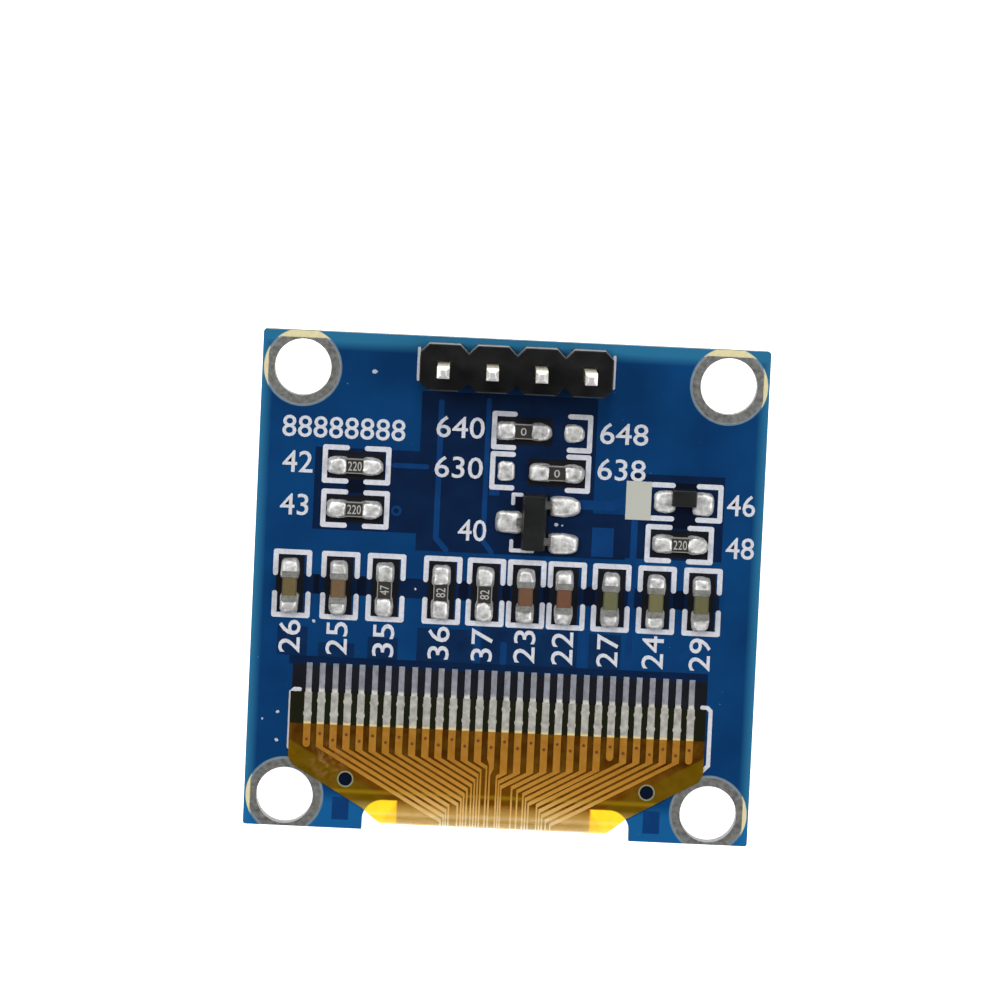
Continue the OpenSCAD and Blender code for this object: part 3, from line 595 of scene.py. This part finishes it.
class ModuleLooks(bpy.types.PropertyGroup):
    solder_height: bpy.props.FloatProperty(
        name="Solder height", description="Height of the resistors' solder lumps over the board",
        default=0.5 * MM, min=0.1 * MM, max=0.8 * MM, subtype="DISTANCE", unit="LENGTH")
    number_height: bpy.props.FloatProperty(
        name="Number height", description="Height of the printed numbers",
        default=1.14 * MM, min=0.5 * MM, max=2 * MM, subtype="DISTANCE", unit="LENGTH")
    floor_size: bpy.props.FloatProperty(
        name="Floor size", description="Side of the square floor",
        default=3.0, min=0.5, max=10.0, subtype="DISTANCE", unit="LENGTH")
    floor_colour: bpy.props.FloatVectorProperty(
        name="Floor colour", description="Colour of the floor", subtype="COLOR", size=4,
        default=(0.93, 0.93, 0.93, 1.0), min=0.0, max=1.0)
    camera_distance: bpy.props.FloatProperty(
        name="Camera distance", description="Distance of the camera from the board",
        default=0.3107, min=0.1, max=1.0, subtype="DISTANCE", unit="LENGTH")
    camera_tilt: bpy.props.FloatProperty(
        name="Camera tilt", description="Lean of the view towards the header side",
        default=math.radians(4.71), subtype="ANGLE", unit="ROTATION")


# ---- Operators ----

class MODULE_OT_board(bpy.types.Operator):
    """Solder mask and the rings of the mounting holes"""
    bl_idname = "module.board"
    bl_label = "Board"

    def execute(self, context):
        dress("pcb", mask_finish())
        dress("mounting_rings", ring_finish())
        return {"FINISHED"}


class MODULE_OT_windows(bpy.types.Operator):
    """Dark places without copper under the chips, painted shade beside the parts and under the film's
    holes, and the traces that show as paler lines
    """
    bl_idname = "module.windows"
    bl_label = "Copper under the mask"

    # Left, right, lower and upper side of each field without copper
    ZONES = [(-4.9, 4.4, 1.8, 10.25), (-10.4, -4.9, 2.7, 7.05), (6.2, 11.3, 1.9, 6.4),
             (4.4, 6.2, 1.8, 4.2), (-12.2, 11.3, -0.75, 0.3), (-11.3, 10.9, -4.5, -4.05)]
    # The same of each field of thin copper, of each pad and of each deep shade
    PATCHES = [(-4.6, -1.6, -4.05, -2.3), (-1.2, 3.9, -4.05, -2.1), (4.5, 6.2, -4.05, -2.2),
               (-12.0, -10.4, -4.05, -2.5), (-9.8, -7.9, -4.05, -3.3), (-7.2, -5.6, -4.05, -2.9)]
    PADS = [(4.4, 5.55, 1.9, 3.45), (-1.15, -0.6, 4.9, 5.4), (-8.7, -7.82, -12.7, -11.5),
            (7.82, 8.7, -12.7, -11.5)]
    SHADES = [(-10.2, -9.9, -0.7, 0.3), (-7.9, -7.4, -0.7, 0.3), (-2.5, -2.0, -0.7, 0.3),
              (-0.2, 0.2, -0.7, 0.3), (1.95, 2.3, -0.7, 0.3), (4.1, 4.7, -0.7, 0.3),
              (8.85, 9.45, -0.7, 0.3), (-8.7, -7.7, 4.7, 5.4), (0.3, 2.05, 2.2, 5.1),
              (8.4, 9.9, 3.6, 6.0)]
    # Corners and width of each trace
    RUNS = [([(-3.85, 9.7), (-3.85, 2.5), (-3.3, 1.9)], 0.3),
            ([(-1.35, 9.9), (-1.35, 2.45), (-0.9, 1.9)], 0.26), ([(-6.2, 6.25), (-4.5, 6.25)], 0.26),
            ([(3.8, 4.62), (5.4, 4.62), (6.1, 4.95)], 0.5), ([(6.62, 3.9), (6.62, -3.8)], 0.34),
            ([(9.1, 1.7), (9.1, -2.0)], 0.3), ([(8.8, -3.8), (10.6, -2.4), (10.9, -2.2)], 0.4),
            ([(4.2, -2.3), (4.2, -3.85)], 0.3), ([(-1.4, -2.3), (-1.4, -3.85)], 0.25),
            ([(0.0, -3.0), (0.0, -3.9)], 0.35)]
    # Middle, inner and outer radius of the ring round a via
    VIA = (-6.0, 3.85, 0.14, 0.28)
    # Length and width of the window under a chip, and how far an upright chip's stands up the board
    CHIP_WINDOW = (3.05, 1.46)
    WINDOW_LIFT = 0.1
    # Middle, length and width of the window under the fingers
    FINGER_WINDOW = (-0.1, -5.25, 22.0, 1.5)
    # Width of the dark disc under each hole in the film
    HOLE_SHADE = 0.8
    # Middle and size of each white speck
    SPECKS = [(-7.45, 11.15, 0.3), (-0.45, 11.9, 0.12), (-4.8, -0.25, 0.14), (-11.8, -8.6, 0.22),
              (-11.8, -7.1, 0.2), (-12.6, -7.5, 0.14), (-10.1, -2.2, 0.2), (2.48, 3.5, 0.24),
              (2.8, 3.47, 0.12)]
    # Heights of the plates, each kind on a level of its own, and the step from shade to shade
    LAMINATE, THIN, COPPER, ROUND, SHADED, OPEN = 0.012, 0.0125, 0.015, 0.016, 0.0165, 0.018
    STEP = 0.0001

    def execute(self, context):
        low = TOP - SUNK
        laminate, thin, copper, windows, shades, specks = (bmesh.new() for _ in range(6))
        for sides in self.ZONES:
            add_field(laminate, sides, self.LAMINATE)
        for sides in self.PATCHES:
            add_field(thin, sides, self.THIN)
        for sides in self.PADS:
            add_field(copper, sides, self.COPPER)
        for points, width in self.RUNS:
            add_run(copper, points, width, low, self.COPPER)
        add_ring(copper, *self.VIA, low, self.ROUND, 24)
        for node in RESISTORS + CAPACITORS:
            centre, size = spread(node)
            if size.x > size.y:
                lift, (length, width) = 0.0, self.CHIP_WINDOW
            else:
                lift, (width, length) = self.WINDOW_LIFT, self.CHIP_WINDOW
            add_plate(windows, centre.x, centre.y + lift, length, width, low, self.OPEN)
        add_plate(windows, *self.FINGER_WINDOW, low, self.OPEN)
        # Painted shade: dark discs under the film's holes and dark plates beside the parts
        for x, y in FILM_HOLES:
            add_disc(shades, x, y, self.HOLE_SHADE, low, self.ROUND, 24)
        for k, sides in enumerate(self.SHADES):
            add_field(shades, sides, self.SHADED + self.STEP * k)
        for k, (x, y, size) in enumerate(self.SPECKS):
            add_lump(specks, x, y, size, size * 0.8, 0.05, turn=k * 0.9, tip=0.4, square=1.0, seed=k)
        plain = copper_finish("mask_on_laminate", rgb(8, 34, 70), rgb(5, 26, 56))
        faint = copper_finish("mask_on_thin_copper", rgb(10, 46, 88), rgb(6, 32, 66))
        line = copper_finish("mask_on_copper", rgb(12, 62, 118), rgb(8, 50, 100))
        soot = copper_finish("window_in_shade", rgb(28, 30, 36), rgb(17, 18, 24))
        deep = copper_finish("mask_in_shade", rgb(6, 18, 42), rgb(4, 12, 30))
        speck = plain_finish("speck", rgb(150, 168, 188), rgb(206, 212, 220), 6.0, 0.5)
        new_piece("laminate_zones", laminate, plain)
        new_piece("thin_copper", thin, faint)
        new_piece("buried_copper", copper, line)
        new_piece("open_windows", windows, soot)
        new_piece("shaded_windows", shades, deep)
        new_piece("white_specks", specks, speck, smooth=True)
        return {"FINISHED"}


class MODULE_OT_print(bpy.types.Operator):
    """White print and the numbers beside the parts"""
    bl_idname = "module.print"
    bl_label = "Print"

    # Numbers that read level, with their middle and width, and numbers that read upwards in a row
    LEVEL = [("88888888", -8.95, 8.1, 6.5), ("42", -11.32, 6.23, 1.6), ("43", -11.4, 3.95, 1.5),
             ("640", -2.8, 8.42, 2.55), ("630", -2.8, 6.3, 2.55), ("648", 5.85, 8.45, 2.55),
             ("638", 5.8, 6.55, 2.55), ("40", -1.95, 3.0, 1.5), ("46", 12.2, 4.95, 1.5),
             ("48", 12.25, 2.68, 1.5)]
    UPRIGHT = [("26", -11.35), ("25", -8.85), ("35", -6.38), ("36", -3.45), ("37", -1.15),
               ("23", 1.1), ("22", 3.1), ("27", 5.5), ("24", 7.9), ("29", 10.4)]
    UPRIGHT_Y, UPRIGHT_WIDTH = -3.05, 1.75
    BOLD = 0.006
    # Lines at both sides of the header's housing
    BESIDE_X, BESIDE_LOW, BESIDE_HIGH, BESIDE_WIDTH = 5.16, 10.85, 12.5, 0.16

    def execute(self, context):
        ink = ink_finish()
        dress("silkscreen", ink)
        height = context.scene.module_looks.number_height / MM
        bm = bmesh.new()
        for text, x, y, width in self.LEVEL:
            letters(bm, text, x, y, height, width, 0.0, TOP, INK, self.BOLD)
        for text, x in self.UPRIGHT:
            letters(bm, text, x, self.UPRIGHT_Y, height, self.UPRIGHT_WIDTH, math.pi / 2, TOP, INK,
                    self.BOLD)
        for x in (-self.BESIDE_X, self.BESIDE_X):
            add_run(bm, [(x, self.BESIDE_LOW), (x, self.BESIDE_HIGH)], self.BESIDE_WIDTH, TOP, INK)
        new_piece("print_numbers", bm, ink)
        return {"FINISHED"}


class MODULE_OT_header(bpy.types.Operator):
    """Header housing, pins and their solder"""
    bl_idname = "module.header"
    bl_label = "Header"

    def execute(self, context):
        dress("header_housing", black_plastic("header_plastic", rgb(12, 12, 14), 0.34), 0.06)
        metal = pin_finish()
        for pin in PINS:
            dress(pin, metal, 0.03)
        dress("header_solder", tin_finish("joint_solder", rgb(150, 150, 150), rgb(205, 205, 205), 0.25))
        return {"FINISHED"}


class MODULE_OT_chips(bpy.types.Operator):
    """Resistors, capacitors, regulator and diode"""
    bl_idname = "module.chips"
    bl_label = "Chip parts"

    CODES = ["220", "220", "0", "0", "47", "82", "82", "220"]
    # Height and width of a code by its number of digits
    CODE_SIZES = {1: (0.4, 0.3), 2: (0.48, 0.5), 3: (0.48, 0.72)}
    CODE_THICK = 0.008
    TONES = [rgb(90, 90, 58), rgb(98, 60, 38), rgb(98, 64, 40), rgb(98, 94, 57),
             rgb(98, 76, 47), rgb(92, 80, 40), rgb(88, 86, 51)]

    def execute(self, context):
        for node in RESISTORS:
            dress(node, resistor_finish(node))
        for node, tone in zip(CAPACITORS, self.TONES):
            dress(node, capacitor_finish(node, tone), 0.04)
        caps = tin_finish("end_cap_tin", rgb(128, 128, 126), rgb(188, 188, 184), 0.4, 0.9, 6.0)
        dress("chip_end_caps", caps)
        bm = bmesh.new()
        for node, code in zip(RESISTORS, self.CODES):
            centre, size = spread(node)
            turn = 0.0 if size.x > size.y else math.pi / 2
            height, width = self.CODE_SIZES[len(code)]
            top = box_mm(node)[1].z
            letters(bm, code, centre.x, centre.y, height, width, turn, top, self.CODE_THICK)
        pale = plain_finish("code_ink", rgb(160, 158, 152), rgb(196, 194, 188), 8.0, 0.5)
        new_piece("resistor_numbers", bm, pale)
        dress("regulator_body", black_plastic("regulator_plastic", rgb(14, 15, 15), 0.4, 0.35), 0.05)
        dress("diode_body", black_plastic("diode_plastic", rgb(18, 20, 18), 0.4, 0.35), 0.05)
        leads = tin_finish("lead_tin", rgb(140, 140, 138), rgb(200, 200, 196), 0.3)
        dress("regulator_leads", leads)
        dress("diode_leads", leads)
        return {"FINISHED"}


class MODULE_OT_solder(bpy.types.Operator):
    """Rounded solder at every chip, at the regulator and the diode, and on the spare pads"""
    bl_idname = "module.solder"
    bl_label = "Solder"

    # A chip's solder: its middle beyond the chip's end, its length and its width
    BEYOND, LENGTH, WIDTH = 0.12, 1.12, 0.97
    # A capacitor's solder climbs higher than a resistor's, in this proportion
    CLIMB = 1.35
    # How boxy the solder is at a chip and elsewhere, and how far chance and the right end draw it out
    CHIP_SQUARE, SQUARE = 0.42, 0.45
    TIP, RIGHT_TIP = 0.45, 0.35
    # Other solder: middle, length, width, height, turn in degrees and pointed tip
    LUMPS = [(0.02, 3.55, 1.5, 1.2, 0.42, 180, 0.1), (2.87, 4.49, 1.6, 1.1, 0.42, 0, 0.35),
             (2.87, 2.52, 1.6, 1.12, 0.42, 0, 0.2), (8.17, 5.0, 1.15, 1.2, 0.34, 180, 0.15),
             (10.18, 4.93, 1.15, 1.25, 0.34, 0, 0.1), (3.22, 8.36, 1.05, 0.96, 0.24, 0, 0.45),
             (-0.28, 6.23, 0.9, 1.05, 0.24, 0, 0.1)]

    def execute(self, context):
        height = context.scene.module_looks.solder_height / MM
        bm = bmesh.new()
        seed = 0
        for node in RESISTORS + CAPACITORS:
            centre, size = spread(node)
            level = size.x > size.y
            tall = height if node in RESISTORS else height * self.CLIMB
            for side in (-1, 1):
                seed += 1
                turn = (0.0 if level else math.pi / 2) + (0.0 if side > 0 else math.pi)
                away = Vector((side, 0)) if level else Vector((0, side))
                spot = centre.xy + away * (max(size.x, size.y) / 2 + self.BEYOND)
                tip = self.TIP * abs(noise.noise(Vector((seed * 1.7, 0.3, 0.1))))
                tip += self.RIGHT_TIP if level and side > 0 else 0
                add_lump(bm, *spot, self.LENGTH, self.WIDTH, tall, turn, tip, self.CHIP_SQUARE, seed)
        for x, y, length, width, tall, turn, tip in self.LUMPS:
            seed += 1
            add_lump(bm, x, y, length, width, tall, math.radians(turn), tip, self.SQUARE, seed)
        solder = tin_finish("bright_solder", rgb(150, 148, 142), rgb(255, 255, 255), 0.42, 0.55, 3.4,
                            0.45)
        piece = new_piece("solder_lumps", bm, solder, smooth=True)
        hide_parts("component_solder", "spare_pads")
        return {"FINISHED"}


class MODULE_OT_tail(bpy.types.Operator):
    """Film, traces, bare fingers, lands and their solder"""
    bl_idname = "module.tail"
    bl_label = "Flexible tail"

    # Dots on the film, one over each finger's trace, in two rows
    DOT_ROWS = (-8.47, -8.15)
    DOT_WIDTH, DOT_HEIGHT = 0.17, 0.026
    # Pale rims of the locating holes
    RIM_INNER, RIM_OUTER, RIM_SUNK, RIM_HEIGHT = 0.36, 0.44, 0.002, 0.008

    def execute(self, context):
        dress("flex_film", film_finish())
        dress("flex_traces", trace_finish())
        dress("flex_fingers", tin_finish("finger_tin", rgb(150, 148, 140), rgb(218, 216, 206), 0.42, 0.5,
                                         2.6, 0.4, COVERLAY_Y + 0.06))
        dress("finger_lands", tin_finish("land_tin", rgb(140, 142, 152), rgb(192, 194, 204), 0.4, 0.75,
                                         2.6, 0.4))
        dress("finger_solder", tin_finish("heel_solder", rgb(150, 148, 140), rgb(204, 202, 194), 0.5, 0.4,
                                          2.0))
        dots, rims = bmesh.new(), bmesh.new()
        for k, x in enumerate(FINGER_X):
            add_disc(dots, x, self.DOT_ROWS[k % 2], self.DOT_WIDTH, FILM_TOP, self.DOT_HEIGHT, 14)
        for x, y in FILM_HOLES:
            add_ring(rims, x, y, self.RIM_INNER, self.RIM_OUTER, FILM_TOP - self.RIM_SUNK,
                     self.RIM_HEIGHT, 48)
        dot = plain_finish("dark_dot", rgb(84, 42, 4), rgb(104, 56, 8), 5.0, 0.4)
        rim = plain_finish("pale_rim", rgb(112, 116, 88), rgb(146, 148, 116), 5.0, 0.4)
        new_piece("film_dots", dots, dot)
        new_piece("film_hole_rims", rims, rim)
        return {"FINISHED"}


class MODULE_OT_display(bpy.types.Operator):
    """Glass, polariser, driver, bond and tape on the display side"""
    bl_idname = "module.display"
    bl_label = "Display panel"

    def execute(self, context):
        dress("polariser", plain_finish("dark_polariser", rgb(12, 12, 16), rgb(20, 20, 26), 0.5, 0.08,
                                        bump=0.05))
        dress("emitter_layer", plain_finish("emitter_film", rgb(28, 28, 34), rgb(38, 38, 44), 3.0, 0.3))
        dress("front_glass", glass_finish("front_sheet", rgb(226, 238, 236)))
        dress("cover_glass", glass_finish("cover_sheet", rgb(206, 222, 220)))
        dress("driver_chip", plain_finish("bare_silicon", rgb(58, 60, 68), rgb(84, 86, 94), 2.0, 0.2,
                                          metal=0.6))
        dress("tail_bond", plain_finish("bond_resin", rgb(180, 166, 120), rgb(206, 194, 150), 3.0, 0.5))
        dress("foam_tape", plain_finish("white_foam", rgb(214, 214, 212), rgb(234, 234, 232), 5.0, 0.8,
                                        bump=0.6))
        return {"FINISHED"}


class MODULE_OT_stage(bpy.types.Operator):
    """Floor, lights and camera"""
    bl_idname = "module.stage"
    bl_label = "Stage"

    # The floor lies this many millimetres under the display, so that their faces don't share a plane
    FLOOR_GAP = 0.02
    # Place, size and power of each soft light, in metres and watts
    LIGHTS = [((-0.62, 0.25, 0.72), 0.4, 4.6), ((0.64, 0.1, 0.68), 0.4, 3.7),
              ((0.0, 0.52, 0.72), 0.2, 2.4), ((0.1, -0.8, 0.6), 0.4, 2.0)]
    # The view: sideways lean and roll in degrees, lens in millimetres and shift of the frame
    LEAN, ROLL = -0.43, 2.68
    LENS, SHIFT_X, SHIFT_Y = 211.36672, -0.00625, 0.0885

    def execute(self, context):
        target = Vector((0, 0, TOP * MM))
        self.add_floor(context)
        self.add_lights(context, target)
        self.add_camera(context, target)
        context.scene.view_settings.view_transform = "Standard"
        return {"FINISHED"}

    def add_floor(self, context):
        looks = context.scene.module_looks
        bm = bmesh.new()
        bmesh.ops.create_grid(bm, x_segments=1, y_segments=1, size=looks.floor_size / 2)
        mesh = bpy.data.meshes.new("floor")
        bm.to_mesh(mesh)
        bm.free()
        floor = bpy.data.objects.new("floor", mesh)
        context.scene.collection.objects.link(floor)
        paint = Finish("pale_floor", Base_Color=tuple(looks.floor_colour), Roughness=0.9,
                       Specular_IOR_Level=0.1, Emission_Color=(1.0, 1.0, 1.0, 1.0),
                       Emission_Strength=1.0)
        mesh.materials.append(paint.material)
        floor.location.z = -self.FLOOR_GAP * MM

    def add_lights(self, context, target):
        world = bpy.data.worlds.new("soft_room")
        world.use_nodes = True
        world.node_tree.nodes["Background"].inputs[0].default_value = (0.9, 0.92, 0.95, 1.0)
        world.node_tree.nodes["Background"].inputs[1].default_value = 0.04
        context.scene.world = world
        for place, size, power in self.LIGHTS:
            lamp = bpy.data.lights.new("softbox", "AREA")
            lamp.size, lamp.energy = size, power
            thing = bpy.data.objects.new("softbox", lamp)
            context.scene.collection.objects.link(thing)
            thing.location = place
            thing.rotation_mode = "QUATERNION"
            thing.rotation_quaternion = (target - Vector(place)).to_track_quat("-Z", "Y")

    def add_camera(self, context, target):
        looks = context.scene.module_looks
        data = bpy.data.cameras.new("camera")
        camera = bpy.data.objects.new("camera", data)
        context.scene.collection.objects.link(camera)
        data.sensor_width = 36.0
        data.lens = self.LENS
        data.shift_x, data.shift_y = self.SHIFT_X, self.SHIFT_Y
        data.clip_start, data.clip_end = 0.01, 10.0
        tilt, lean, roll = looks.camera_tilt, math.radians(self.LEAN), math.radians(self.ROLL)
        back = Vector((math.sin(lean), math.sin(tilt) * math.cos(lean),
                       math.cos(tilt) * math.cos(lean)))
        right = Vector((0, 1, 0)).cross(back).normalized()
        up = back.cross(right)
        turned_right = right * math.cos(roll) + up * math.sin(roll)
        turned_up = up * math.cos(roll) - right * math.sin(roll)
        axes = Matrix((turned_right, turned_up, back)).transposed()
        camera.matrix_world = Matrix.Translation(target + back * looks.camera_distance) @ axes.to_4x4()
        context.scene.camera = camera


OPERATORS = (MODULE_OT_board, MODULE_OT_windows, MODULE_OT_print, MODULE_OT_header, MODULE_OT_chips,
             MODULE_OT_solder, MODULE_OT_tail, MODULE_OT_display, MODULE_OT_stage)


class MODULE_PT_sidebar(bpy.types.Panel):
    bl_label = "Display module"
    bl_space_type = "VIEW_3D"
    bl_region_type = "UI"
    bl_category = "Module"

    def draw(self, context):
        looks = context.scene.module_looks
        for name in ModuleLooks.__annotations__:
            self.layout.prop(looks, name)
        for operator in OPERATORS:
            self.layout.operator(operator.bl_idname)


CLASSES = (ModuleLooks, *OPERATORS, MODULE_PT_sidebar)


def register():
    for item in CLASSES:
        bpy.utils.register_class(item)
    bpy.types.Scene.module_looks = bpy.props.PointerProperty(type=ModuleLooks)


def unregister():
    del bpy.types.Scene.module_looks
    for item in reversed(CLASSES):
        bpy.utils.unregister_class(item)


def main():
    register()
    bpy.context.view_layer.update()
    for operator in OPERATORS:
        group, name = operator.bl_idname.split(".")
        getattr(getattr(bpy.ops, group), name)()


if __name__ == "__main__":
    main()
